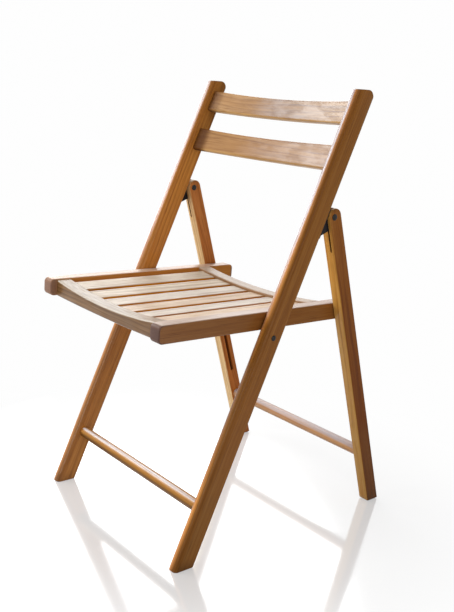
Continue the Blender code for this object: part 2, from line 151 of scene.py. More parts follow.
def woodFinish(name, look):
    # Rings about a heart line, swayed by slow noise; fine fibres and pores drawn out along the grain.
    # Over that come the board's marks: end grain, which also carries painted shade in slots and a painted cast
    # shadow; a tint on rounded edges; tone, which also carries painted shade; and a pale tint that mostly paints
    # sheen, highlights and reflections.
    material, start, shader = newFinish(name)

    def mark(label, out="Fac"):
        return start.make("ShaderNodeAttribute", {"attribute_name": label}, {}, out)

    grain = mark("grainSpace", "Vector")
    # the edge mark tints rounded edges a little, darker on all but the front cross rail
    edge, endAndShade, tone = mark("edgeWear"), mark("endGrain"), mark("boardTone")
    polish, tintAndSheen = mark("polish"), mark("sunWorn")
    sway = grain.noise(*timber["sway"], "Color").shifted((-0.5, -0.5, -0.5))
    swayed = grain.shifted(sway.scaled((look["sway"], look["sway"], 0)))
    fine = grain.noise(*timber["fine"])
    saw = (swayed.scaled((1, 1, 0)).length() * look["rings"] + fine * timber["jitter"]).fract()
    late = saw ** timber["lateCurve"] * (1 - saw.ramp(*timber["lateEnd"]))
    fibres = grain.noise(*timber["fibres"])
    streaks = swayed.noise(*timber["streaks"])
    pores = grain.noise(*timber["pores"]).ramp(*timber["poreRange"])
    broad = grain.noise(*timber["broad"]).ramp(*timber["broadRange"])
    patchy = 1 - grain.noise(*timber["patches"]).ramp(*timber["patchRange"]) * look["mottle"]
    figure = (late * look["ringDepth"] + (fibres - 0.5) * timber["fibreDepth"]
              + (streaks - 0.5) * look["streaks"] + timber["figureBase"])
    colour = start.make("ShaderNodeValToRGB", {"stops": look["stops"]}, {"Fac": figure}, "Color")
    # the end colour marks real end grain; it also paints shade on slot floors, a cast shadow on a back slat's far
    # end and the far rear leg's outer face, and darkens some feet
    for label, layer in {"warm": broad, "pore": pores, "endAndShadeColour": endAndShade, "edgeColour": edge}.items():
        colour = colour.blended(look[label], layer * timber["show"][label])
    # multiplying by the shade colour where the tone mark is high paints shade: shaded faces, undersides, slot
    # floors and darker copies of boards, along with some tone of the wood itself
    colour = colour.blended(look["shade"], tone, "MULTIPLY")
    # on the boards this pale tint layer mostly paints sheen, highlights and reflections; on the near rear leg it
    # darkens the foot
    bare = 1 - fibres.ramp(*timber["fibreRange"]) * timber["tintAndSheenGap"]
    colour = colour.blended(look["tintAndSheenColour"], tintAndSheen * bare)
    height = (fibres * timber["fibreHeight"] + late * timber["lateHeight"]) - pores * timber["poreDepth"]
    bump = start.make("ShaderNodeBump", {}, {
        "Strength": timber["bump"], "Distance": timber["bumpDepth"], "Height": height}, "Normal")
    varnish = polish * patchy * (1 - endAndShade * timber["endDull"] - pores * timber["poreDull"])
    rough = fibres * timber["fibreRough"] + endAndShade * timber["endRough"] + look["rough"]
    connect(shader, {"Base Color": colour, "Roughness": rough, "Coat Weight": varnish, "Normal": bump},
            {"Coat Roughness": look["coatRough"], "Coat IOR": look["coatIor"],
             "Specular IOR Level": timber["specular"]})
    return material


# What all metal shares: noises as for the boards, and how much they show
metal = {
    "mottle": ((160, 160, 160), 3.0, 0.6), "wear": ((420, 420, 420), 2.0, 0.5), "wearRange": (0.66, 0.74),
    "bump": 0.1, "bumpDepth": 0.0002, "mottleRough": 0.25}


def steelFinish(name, look):
    # Paint or bare metal with a soft mottle, and thin spots that show the steel.
    material, start, shader = newFinish(name)
    spot = start.make("ShaderNodeTexCoord", {}, {}, "Object")
    mottle = spot.noise(*metal["mottle"])
    tintAndSheen = spot.noise(*metal["wear"]).ramp(*metal["wearRange"]) * look["wear"]
    colour = start.make("ShaderNodeValToRGB", {"stops": look["stops"]}, {"Fac": mottle}, "Color")
    colour = colour.blended(look["bare"], tintAndSheen)
    bump = start.make("ShaderNodeBump", {}, {
        "Strength": metal["bump"], "Distance": metal["bumpDepth"], "Height": mottle}, "Normal")
    connect(shader, {"Base Color": colour, "Roughness": mottle * metal["mottleRough"] + look["rough"],
                     "Normal": bump, "Metallic": tintAndSheen * (1 - look["metal"]) + look["metal"]},
            {"Specular IOR Level": look["shine"]})
    return material


# Finishes of the boards: posts, side rails, stretchers, cross rails, rear legs, back slats, seat slats
postLook = {
    "rings": 150.0, "sway": 0.016, "ringDepth": 0.28, "streaks": 1.2, "mottle": 0.1,
    "rough": 0.34, "coatRough": 0.14, "coatIor": 1.58,
    "stops": [(0.0, (0.80, 0.350, 0.074)), (0.45, (0.61, 0.232, 0.041)), (1.0, (0.24, 0.075, 0.012))],
    "warm": (0.66, 0.232, 0.034), "pore": (0.13, 0.040, 0.008), "endAndShadeColour": (0.150, 0.112, 0.050),
    "edgeColour": (0.35, 0.110, 0.018), "shade": (0.30, 0.28, 0.19), "tintAndSheenColour": (0.46, 0.46, 0.53)}
varnishedWood = woodFinish("varnishedWood", postLook)
glossyWood = woodFinish("glossyWood", {
    **postLook, "coatRough": 0.34, "coatIor": 1.46, "streaks": 0.55, "ringDepth": 0.14, "rings": 280.0,
    "endAndShadeColour": (0.182, 0.143, 0.135), "shade": (0.30, 0.28, 0.36), "tintAndSheenColour": (0.57, 0.50, 0.435)})
rodLook = {
    **postLook, "coatIor": 2.40, "coatRough": 0.28, "streaks": 0.9, "tintAndSheenColour": (0.49, 0.470, 0.52),
    "stops": [(0.0, (0.78, 0.40, 0.095)), (0.45, (0.62, 0.280, 0.055)), (1.0, (0.28, 0.10, 0.018))],
    "warm": (0.66, 0.280, 0.046), "shade": (0.30, 0.20, 0.09)}
# the front rod's copy has a near-white tint colour that paints its highlight
rodWood = {
    "rear": woodFinish("rodWood", rodLook),
    "front": woodFinish("rodWoodPaintedHighlight", {
        **rodLook, "tintAndSheenColour": (0.90, 0.88, 0.92), "shade": (0.24, 0.21, 0.14)})}
fadedWood = woodFinish("fadedWood", {
    **postLook, "coatIor": 1.50, "coatRough": 0.34,
    "stops": [(0.0, (0.64, 0.38, 0.20)), (0.45, (0.50, 0.27, 0.13)), (1.0, (0.25, 0.12, 0.05))],
    "warm": (0.53, 0.26, 0.105), "tintAndSheenColour": (0.55, 0.46, 0.37)})
paleLook = {
    "rings": 110.0, "sway": 0.026, "ringDepth": 0.46, "streaks": 1.7, "mottle": 0.3,
    "rough": 0.34, "coatRough": 0.18, "coatIor": 1.25,
    "stops": [(0.0, (0.77, 0.440, 0.115)), (0.45, (0.63, 0.305, 0.060)), (1.0, (0.32, 0.128, 0.024))],
    "warm": (0.66, 0.280, 0.046), "pore": (0.18, 0.068, 0.016), "endAndShadeColour": (0.06, 0.042, 0.024),
    "edgeColour": (0.42, 0.180, 0.046), "shade": (0.42, 0.205, 0.080), "tintAndSheenColour": (0.075, 0.044, 0.012)}
# one leg wood in two copies: a lit one for the far right leg and a shaded one for the near left leg
litAndShadedLegWood = {
    "left": woodFinish("paleWood", paleLook),
    "right": woodFinish("paleWoodLitCopy", {
        **paleLook, "warm": (0.82, 0.50, 0.19), "shade": (0.72, 0.335, 0.13),
        "stops": [(0.0, (0.92, 0.68, 0.36)), (0.45, (0.80, 0.53, 0.24)), (1.0, (0.42, 0.22, 0.075))]})}
backWood = woodFinish("backWood", {
    **paleLook, "ringDepth": 0.55, "streaks": 1.9, "mottle": 0.5, "coatIor": 1.74, "coatRough": 0.30,
    "stops": [(0.0, (0.74, 0.48, 0.21)), (0.45, (0.57, 0.335, 0.125)), (1.0, (0.24, 0.110, 0.034))],
    "warm": (0.58, 0.315, 0.105), "endAndShadeColour": (0.075, 0.032, 0.004), "shade": (0.40, 0.25, 0.13),
    "tintAndSheenColour": (0.20, 0.185, 0.185)})
seatWood = woodFinish("seatWood", {
    "rings": 130.0, "sway": 0.020, "ringDepth": 0.40, "streaks": 2.2, "mottle": 0.6,
    "rough": 0.45, "coatRough": 0.58, "coatIor": 1.70,
    "stops": [(0.0, (0.68, 0.58, 0.44)), (0.45, (0.55, 0.455, 0.345)), (1.0, (0.31, 0.205, 0.115))],
    "warm": (0.545, 0.415, 0.27), "pore": (0.20, 0.095, 0.034), "endAndShadeColour": (0.20, 0.105, 0.055),
    "edgeColour": (0.46, 0.240, 0.080), "shade": (0.98, 0.44, 0.020), "tintAndSheenColour": (0.60, 0.57, 0.58)})
wornWood = woodFinish("wornWood", {
    "rings": 140.0, "sway": 0.018, "ringDepth": 0.50, "streaks": 1.7, "mottle": 0.3,
    "rough": 0.38, "coatRough": 0.22, "coatIor": 1.42,
    "stops": [(0.0, (0.31, 0.168, 0.066)), (0.45, (0.205, 0.102, 0.036)), (1.0, (0.08, 0.036, 0.011))],
    "warm": (0.22, 0.100, 0.029), "pore": (0.07, 0.028, 0.010), "endAndShadeColour": (0.150, 0.086, 0.052),
    "edgeColour": (0.30, 0.180, 0.085), "shade": (0.50, 0.48, 0.48), "tintAndSheenColour": (0.47, 0.39, 0.30)})
# Finishes of the metal: rivets, brackets and plates, pins and screws
blackSteel = steelFinish("blackSteel", {
    "stops": [(0.2, (0.014, 0.013, 0.013)), (0.8, (0.032, 0.030, 0.029))], "bare": (0.20, 0.19, 0.18),
    "rough": 0.34, "wear": 0.4, "metal": 0.0, "shine": 0.22})
blackPaint = steelFinish("blackPaint", {
    "stops": [(0.2, (0.010, 0.009, 0.010)), (0.8, (0.022, 0.019, 0.021))], "bare": (0.16, 0.15, 0.15),
    "rough": 0.34, "wear": 0.35, "metal": 0.0, "shine": 0.12})
brightSteel = steelFinish("brightSteel", {
    "stops": [(0.2, (0.36, 0.35, 0.33)), (0.8, (0.50, 0.49, 0.46))], "bare": (0.22, 0.15, 0.09),
    "rough": 0.24, "wear": 0.3, "metal": 1.0, "shine": 0.5})
print("finishes made")

# How near points are welded, and the angle in degrees past which an edge stays sharp
meshing = {"seam": 3e-6, "sliver": 1e-6, "sharp": 38}


def makePiece(name, local, faces, body, finish, marks, replaced):
    # weld the seams, turn every face outwards, and let the piece ride on its body
    mesh = bpy.data.meshes.new(name)
    mesh.from_pydata(intoChair(local.reshape(-1, 3), body), [], faces)
    for label, values in marks.items():
        isVector = values.shape[-1] == 3 and values.ndim == local.ndim
        layer = mesh.attributes.new(label, "FLOAT_VECTOR" if isVector else "FLOAT", "POINT")
        layer.data.foreach_set("vector" if isVector else "value", values.astype(np.float32).ravel())
    bm = bmesh.new()
    bm.from_mesh(mesh)
    bmesh.ops.remove_doubles(bm, verts=bm.verts, dist=meshing["seam"])
    bmesh.ops.dissolve_degenerate(bm, dist=meshing["sliver"], edges=bm.edges)
    bmesh.ops.recalc_face_normals(bm, faces=bm.faces)
    bm.to_mesh(mesh)
    bm.free()
    mesh.shade_smooth()
    mesh.set_sharp_from_angle(angle=math.radians(meshing["sharp"]))
    item = bpy.data.objects.new(name, mesh)
    bpy.context.scene.collection.objects.link(item)
    mesh.materials.append(finish)
    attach(item, body)
    if replaced:
        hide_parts(*replaced)


def tubeFaces(rings, count):
    # quads between neighbouring rings, and a ladder of faces across both end rings
    index = np.arange(rings * count).reshape(rings, count)
    after = np.roll(index, -1, axis=1)
    quads = np.stack([index[:-1], after[:-1], after[1:], index[1:]], axis=-1).reshape(-1, 4)
    rung = np.arange(1, count // 2 - 1)
    ladder = np.stack([rung, rung + 1, count - rung - 1, count - rung], axis=-1)
    middle = count // 2
    tips = np.array([[0, 1, count - 1], [middle - 1, middle, middle + 1]])
    last = (rings - 1) * count
    caps = [ladder, ladder + last, tips, tips + last]
    return quads.tolist() + [face for cap in caps for face in cap.tolist()]


def makeTube(node, suffix, local, body, finish, marks):
    # a piece of rings, closed at both ends, in the place of one node
    makePiece(node + suffix, local, tubeFaces(*local.shape[:2]), body, finish, marks, [node])


def sectionLoop(half, low, high, lowRound, highRound, across, arc, along):
    # Rounded rectangle, mirrored left to right: out along the low side, round a corner, up, round a
    # corner, back along the high side. Each size holds one value a ring. Also gives how far each
    # point lies on a corner, and how far on the low or high side.
    sizes = np.broadcast_arrays(*np.atleast_1d(half, low, high, lowRound, highRound))
    half, low, high, lowRound, highRound = (np.reshape(size, (-1, 1)) for size in sizes)
    t = np.linspace(0, 1, across, endpoint=False)
    a = np.linspace(0, math.pi / 2, arc, endpoint=False)
    u = np.linspace(0, 1, along, endpoint=False)
    e = np.linspace(0, 1, across + 1)
    xs = [t * (half - lowRound), half - lowRound + lowRound * np.sin(a), half + 0 * u,
          half - highRound + highRound * np.cos(a), (1 - e) * (half - highRound)]
    ys = [low + 0 * t, low + lowRound * (1 - np.cos(a)),
          low + lowRound + u * (high - highRound - low - lowRound),
          high - highRound + highRound * np.sin(a), high + 0 * e]
    corner = np.concatenate([0 * t, np.sin(2 * a), 0 * u, np.sin(2 * a), 0 * e])
    ends = np.concatenate([1 + 0 * t, np.cos(a) ** 2, 0 * u, np.sin(a) ** 2, 1 + 0 * e])
    points = np.stack([np.concatenate(xs, 1), np.concatenate(ys, 1)], axis=-1)
    mirrored = points[:, -2:0:-1] * np.array([-1, 1])
    corner, ends = (np.concatenate([values, values[-2:0:-1]]) for values in (corner, ends))
    return np.concatenate([points, mirrored], axis=1), corner, ends


def roundOver(radius, steps):
    # quarter round at an end: how far each ring is drawn in, and how far it lies from the end
    a = np.linspace(0, math.pi / 2, steps)
    return radius * (1 - np.sin(a)), radius * (1 - np.cos(a))


def boardMarks(local, axes, heart, edge, end, tone, polish, tintAndSheen):
    # grain space: two directions across the board from its heart line, and one along it
    marks = {"edgeWear": edge, "endGrain": end, "boardTone": tone, "polish": polish, "sunWorn": tintAndSheen}
    marks = {label: np.broadcast_to(values, local.shape[:-1]) for label, values in marks.items()}
    return {"grainSpace": local[..., axes] + np.array(heart), **marks}


# Posts: front leg and back post in one length. Pairs that rise takes are where it starts and over what.
# Along a post the painted light and shade on the front rounding change at heights, from foot to knee, back and top.
post = {
    "thick": 0.0225, "depth": 0.0355, "outer": 0.2095, "height": 0.800, "frontRound": 0.0078,
    "rearEase": 0.0017, "endEase": 0.0015, "endSteps": 4, "topRound": 0.0115, "leastFront": 0.0006,
    "leastRear": 0.0004, "rings": 13, "soleRing": 0.026, "grid": (5, 9, 14), "edgeWear": 0.8,
    "heights": (0.13, 0.20, 0.36, 0.45, 0.55, 0.73), "steps": (0, 1, 1, 2, 2, 3),
    "paintedBounceAt": 0.60, "paintedBounceOver": 0.16, "topUp": (0.755, 0.025), "rearIn": (-0.004, 0.012), "rearLeast": 0.42,
    "inside": (0.9, 0.1), "rightFaceShade": 0.55, "footFade": (0.08, 0.27), "gilt": (-0.277, 0.2564),
    "footYellowLift": 0.18, "soleUp": (0.0, 0.022), "veilAt": (0.0, 0.17, 0.45, 0.62), "glintUp": (0.40, 0.25),
    "glintMost": 0.9,
    # a board's tone is painted shade, more on the near left post than on the far right one
    "boards": {
        "left": {"heart": (0.034, 0.052, 0.31), "tone": 0.68, "paintedBounce": 0.0,
            "edge": {"pale": (-0.40, 0.0, -0.46, -0.12), "deep": (0.32, 0.32, 0.30, 0.35),
                "from": (-0.28, -0.15, -0.62, -0.42), "over": (0.77, 0.64, 0.67, 0.40)},
            "shine": (-0.10, 0.40), "sun": (0.05, 0.30), "frontDull": 0.7, "topShade": 0.0,
            "veil": (0.03, 0.20, 0.14, 0.09), "footYellow": 0.34, "footGold": 0.60, "footTone": 0.36},
        "right": {"heart": (-0.046, 0.038, 1.72), "tone": 0.34, "paintedBounce": 0.38,
            "edge": {"pale": (-0.20,) * 4, "deep": (0.55,) * 4, "from": (-0.28,) * 4, "over": (0.77,) * 4},
            "shine": (-0.277, 0.641), "sun": (-0.277, 0.70), "frontDull": 0.0, "topShade": 0.48,
            "veil": (0.26, 0.30, 0.21, 0.03), "footYellow": 0.0, "footGold": 0.0, "footTone": 0.25}}}


def postMarks(local, board, corner, end):
    # tones by height, and by how far round the front to the sitter's right a point lies, -1 to 1; most of them are
    # painted light and shade
    x, b, s = np.moveaxis(local, -1, 0)
    rightward = -2 * x / post["thick"]
    ahead = np.clip((post["frontRound"] - post["depth"] / 2 - b) / post["frontRound"], 0, 1)
    pale, deep, start, over = (np.interp(s, post["heights"], np.take(board["edge"][key], post["steps"]))
                               for key in ("pale", "deep", "from", "over"))
    # painted light on the front rounding where pale lifts it, painted shade where deep darkens it
    frontLightAndShade = deep + (pale - deep) * rise(rightward, start, over)
    # painted shade: the far post's top, most on its rear half behind the back slats, and each post's face towards
    # the sitter's right
    rear = post["rearLeast"] + (1 - post["rearLeast"]) * rise(b, *post["rearIn"])
    sideShade = board["topShade"] * rise(s, *post["topUp"]) * rear
    sideShade = sideShade + post["rightFaceShade"] * rise(rightward, *post["inside"])
    lowDown = np.interp(s, post["footFade"], (1, 0))
    # painted light: the front strip near the foot lifted to a lighter gold
    gilt = board["footGold"] * ahead * rise(rightward, *post["gilt"])
    gilt = gilt + post["footYellowLift"] * board["footYellow"] * (1 - ahead)
    # painted bounce light: a paler band at mid height of the far post
    paintedBounce = board["paintedBounce"] * np.exp(-((s - post["paintedBounceAt"]) / post["paintedBounceOver"]) ** 2)
    veil = np.interp(s, post["veilAt"], board["veil"])
    shine = ahead * rise(rightward, *board["shine"])
    sun = ahead * rise(rightward, *board["sun"])
    # the foot's sides turn darker and yellower towards the floor
    end = np.maximum(end, board["footYellow"] * lowDown * (1 - ahead))
    tone = (board["tone"] - paintedBounce + ahead * frontLightAndShade + (1 - ahead) * sideShade - gilt * lowDown
            + board["footTone"] * (1 - rise(s, *post["soleUp"])))
    polish = (veil + (1 - veil) * shine) * (1 - board["frontDull"] * ahead * (1 - shine))
    # painted highlight: a pale lilac tint on the upper front rounding, on the side towards the sitter's right
    tintAndSheen = np.minimum(sun, post["glintMost"]) * rise(s, *post["glintUp"])
    return boardMarks(local, [0, 1, 2], board["heart"], corner * post["edgeWear"], end, tone, polish, tintAndSheen)


def buildPost(side):
    # rounded section carried up the post; both ends are level, and the top's rear corner is round
    lean = -stand["front_frame"]["lean"]
    half, r = post["thick"] / 2, post["topRound"]
    front, back = -post["depth"] / 2, post["depth"] / 2
    inset, lift = roundOver(post["endEase"], post["endSteps"])
    middle = np.concatenate([[post["soleRing"]], np.linspace(0, 1, post["rings"])[1:-1]])

    def atBothEnds(values):
        return np.concatenate([values, 0 * middle, values[::-1]])

    drawn, away = atBothEnds(inset), atBothEnds(lift)[:, None]
    share = np.concatenate([0 * inset, middle, 1 + 0 * inset])[:, None]
    loop, corner, _ = sectionLoop(half - drawn, front + drawn, back - drawn,
                                  np.maximum(post["frontRound"] - drawn, post["leastFront"]),
                                  np.maximum(post["rearEase"] - drawn, post["leastRear"]), *post["grid"])
    x, b = loop[..., 0], loop[..., 1]
    topLine = post["height"] / math.cos(lean)
    bend = math.pi / 2 + lean
    hub = (back - r, topLine + back * math.tan(lean) - r * math.tan(bend / 2))
    level = topLine + b * math.tan(lean)
    touch = hub[0] + r * math.cos(bend)
    curve = hub[1] + np.sqrt(np.maximum(r ** 2 - (np.maximum(b, touch) - hub[0]) ** 2, 0))
    top = np.where(b > touch, np.minimum(curve, level), level)
    bottom = b * math.tan(lean)
    s = (1 - share) * (bottom + away) + share * (top - away)
    local = np.stack([x, b, s], axis=-1)
    end = atBothEnds(np.linspace(1, 0, post["endSteps"]))[:, None]
    marks = postMarks(local, post["boards"][side], corner, end)
    local = local + np.array([sides[side] * (post["outer"] - half), 0, 0])
    makeTube("post_" + side, "_shaped", local, "front_frame", varnishedWood, marks)


for side in sides:
    buildPost(side)
print("posts made")

# Back slats, bowed backwards with a dipped top edge. Lists follow shares, from the sitter's right to left.
backSlat = {
    "reach": 0.1872, "thick": 0.0130, "edge": 0.0032, "stations": 61, "grid": (3, 6, 8), "edgeWear": 0.6,
    "lowOver": 0.0020, "lowEdgeLight": 0.60, "postShadowDepth": 0.8, "shares": (-1, -0.75, -0.35, 0, 0.7, 1),
    "upper": {"low": 0.80251, "high": 0.84431, "bow": 0.0090, "dip": 0.0032,
        "heart": (0.021, -0.795, 0.4), "tone": 0.50, "joint": (-0.99, -0.82),
        "polish": (0.07, 0.07, 0.12, 0.46, 0.92, 0.92), "tintAndSheen": (0.0, 0.03, 0.06, 0.46, 0.30, 0.22),
        "dark": (0.0, 0.0, 0.05, 0.27, 0.05, 0.0)},
    "lower": {"low": 0.71851, "high": 0.76301, "bow": 0.0030, "dip": 0.0032,
        "heart": (-0.017, -0.760, 2.3), "tone": 0.70, "joint": (-0.88, -0.79),
        "polish": (0.0, 0.0, 0.02, 0.23, 0.76, 0.82), "tintAndSheen": (0.0, 0.0, 0.0, 0.06, 0.10, 0.10),
        "dark": (-0.10, -0.10, -0.10, 0.0, 0.0, 0.0)}}


def buildBackSlat(label):
    # rounded section carried across; the parabola 1 - (x / reach) squared bows it and dips its top
    slat = backSlat[label]
    x = np.linspace(-1, 1, backSlat["stations"])
    belly = 1 - x ** 2
    loop, corner, _ = sectionLoop(backSlat["thick"] / 2, slat["low"] + 0 * x, slat["high"] - slat["dip"] * belly,
                                  backSlat["edge"], backSlat["edge"], *backSlat["grid"])
    share = np.broadcast_to(x[:, None], loop.shape[:2])
    deep = loop[..., 0] + (slat["bow"] * belly)[:, None]
    local = np.stack([share * backSlat["reach"], deep, loop[..., 1]], axis=-1)
    # painted cast shadow: the far post's shadow laid dark over each slat's far end
    joint = np.interp(share, slat["joint"], (1, 0))
    # painted light: the lower edge lifted lighter
    lowEdge = rise(slat["low"] + backSlat["edge"] - loop[..., 1], 0, backSlat["lowOver"])
    # the pale tint here paints a grey reflection veil, most across the upper slat's middle
    polish, tintAndSheen, dark = (np.interp(share, backSlat["shares"], slat[key]) for key in ("polish", "tintAndSheen", "dark"))
    tone = (slat["tone"] + dark - backSlat["lowEdgeLight"] * lowEdge) * (1 - joint) + joint
    marks = boardMarks(local, [1, 2, 0], slat["heart"], corner * backSlat["edgeWear"],
                       backSlat["postShadowDepth"] * joint, tone, polish, tintAndSheen * (1 - lowEdge))
    makeTube("back_slat_" + label, "_shaped", local, "front_frame", backWood, marks)


for label in ("upper", "lower"):
    buildBackSlat(label)
print("back slats made")

# Round stretchers between the legs. Angles are about X from straight back, in radians. Each rod's underside gets
# painted shade, and a pale band paints a highlight on the front rod and a reflection over the rear rod's upper
# side.
stretcher = {
    "reach": 0.1880, "radius": 0.0107, "taper": 0.012, "stations": 25, "around": 40, "dull": 0.04,
    "sheenEnd": ((0.5, 0.95), (1.0, 0.4)),
    "front": {"body": "front_frame", "at": (0.0, 0.1047), "heart": (0.03, 0.018, 0.9), "tone": 0.30,
        "under": 0.9, "shade": (2.58, 0.75),
        "sheen": 0.95, "sheenAt": 1.94, "sheenWidth": 0.28,
        "sheenBand": ((1.50, 1.80, 2.08, 2.26), (0.0, 0.90, 0.90, 0.0))},
    "rear": {"body": "rear_frame", "at": (0.0028, -0.50293), "heart": (-0.026, 0.03, 3.1), "tone": 0.05,
        "under": 0.42, "shade": (2.80, 1.0),
        "sheen": 0.24, "sheenAt": 2.02, "sheenWidth": 0.36,
        "sheenBand": ((1.0, 1.3, 2.60, 2.85), (0.20, 0.95, 0.95, 0.25))}}


def buildStretcher(label):
    # circle carried across, a hair thinner towards its ends as x to the fourth
    rod = stretcher[label]
    x = np.linspace(-1, 1, stretcher["stations"])[:, None]
    a = np.linspace(0, 2 * math.pi, stretcher["around"], endpoint=False)
    r = stretcher["radius"] * (1 - stretcher["taper"] * x ** 4)
    flat = np.stack([x * stretcher["reach"] + 0 * a, r * np.cos(a), r * np.sin(a)], axis=-1)
    w = np.mod(a + stand[rod["body"]]["lean"], 2 * math.pi)
    gloss = np.exp(-((w - rod["sheenAt"]) / rod["sheenWidth"]) ** 2) * np.interp(x, *stretcher["sheenEnd"])
    # painted shade on the underside
    tone = rod["tone"] + rod["under"] * rise(w, *rod["shade"])
    polish = stretcher["dull"] + rod["sheen"] * gloss
    # a pale band: painted highlight on the front rod, painted reflection on the rear rod's upper side
    marks = boardMarks(flat, [1, 2, 0], rod["heart"], 0.0, 0.0, tone, polish, np.interp(w, *rod["sheenBand"]))
    local = flat + np.array([0, *rod["at"]])
    makeTube(label + "_stretcher", "_turned", local, rod["body"], rodWood[label], marks)


for label in ("front", "rear"):
    buildStretcher(label)
print("stretchers made")

# Rear legs: round top, kerf for the bracket's blade in the front, groove for the guide pin inside
leg = {
    "inner": 0.1870, "outer": 0.2095, "centre": 0.0028, "half": 0.0141, "ease": 0.0016, "footEase": 0.0030,
    "kerfMiddle": 0.20165, "kerfHalf": 0.0018, "kerfLip": 0.0007, "kerfBack": 0.0102, "kerfFull": -0.0300,
    "kerfEnd": -0.0650, "kerfClear": 0.004, "grooveHalf": 0.0037, "grooveDepth": 0.0080, "grooveLeast": 0.0004,
    "grooveTop": -0.188518, "grooveFoot": -0.437857, "footClear": 0.016, "clearBelow": 0.010, "clearAbove": 0.012,
    "rings": {"shin": 6, "tip": 7, "groove": 14, "thigh": 6, "ramp": 10, "kerf": 7, "crown": 33, "arc": 7},
    "flats": (0.45, 0.8, 1.0), "edgeWear": 0.7, "footCut": 0.4, "crownCut": 0.7, "darkDown": (0.05, 0.5),
    "footOliveDown": (0.42, 0.05), "footOlivePale": 0.24, "footOliveAt": ((0.43, 0.50, 0.585, 0.606), (0.0, 0.24, 0.40, 1.0)),
    "gloss": 0.5, "flankDull": 0.25,
    "boards": {
        "left": {"heart": (-0.150, 0.045, 0.7), "flankShade": 0.75, "fall": 0.54,
            "footDark": 0.46, "footOlive": 0.62, "outerShade": 0.0},
        "right": {"heart": (0.240, 0.030, 2.6), "flankShade": 0.90, "fall": 0.25,
            "footDark": 0.0, "footOlive": 0.0, "outerShade": 0.6}}}


def legStations(footMiddle):
    # heights up the leg, with the half width of the pin groove and its depth at each; its ends are round
    g, rings, low, high = leg["grooveHalf"], leg["rings"], leg["grooveFoot"], leg["grooveTop"]
    turn = np.linspace(0, 1, rings["tip"])
    tip = np.sqrt(1 - turn ** 2) * (g - leg["grooveLeast"]) + leg["grooveLeast"]
    runs = [(np.linspace(footMiddle + leg["footClear"], low - g - leg["clearBelow"], rings["shin"]), g, 0),
            (low - g * turn[-1:], tip[-1:], 0), (low - g * turn[::-1], tip[::-1], 1),
            (np.linspace(low, high, rings["groove"])[1:-1], g, 1),
            (high + g * turn, tip, 1), (high + g * turn[-1:], tip[-1:], 0),
            (np.linspace(high + leg["clearAbove"], leg["kerfEnd"] - leg["kerfClear"], rings["thigh"]), g, 0),
            (np.linspace(leg["kerfEnd"], leg["kerfFull"], rings["ramp"]), g, 0),
            (np.linspace(leg["kerfFull"], 0, rings["kerf"])[1:], g, 0)]
    zs, width, deep = (np.concatenate([np.broadcast_to(run[part], run[0].shape) for run in runs])
                       for part in range(3))
    return zs, width, deep * leg["grooveDepth"]


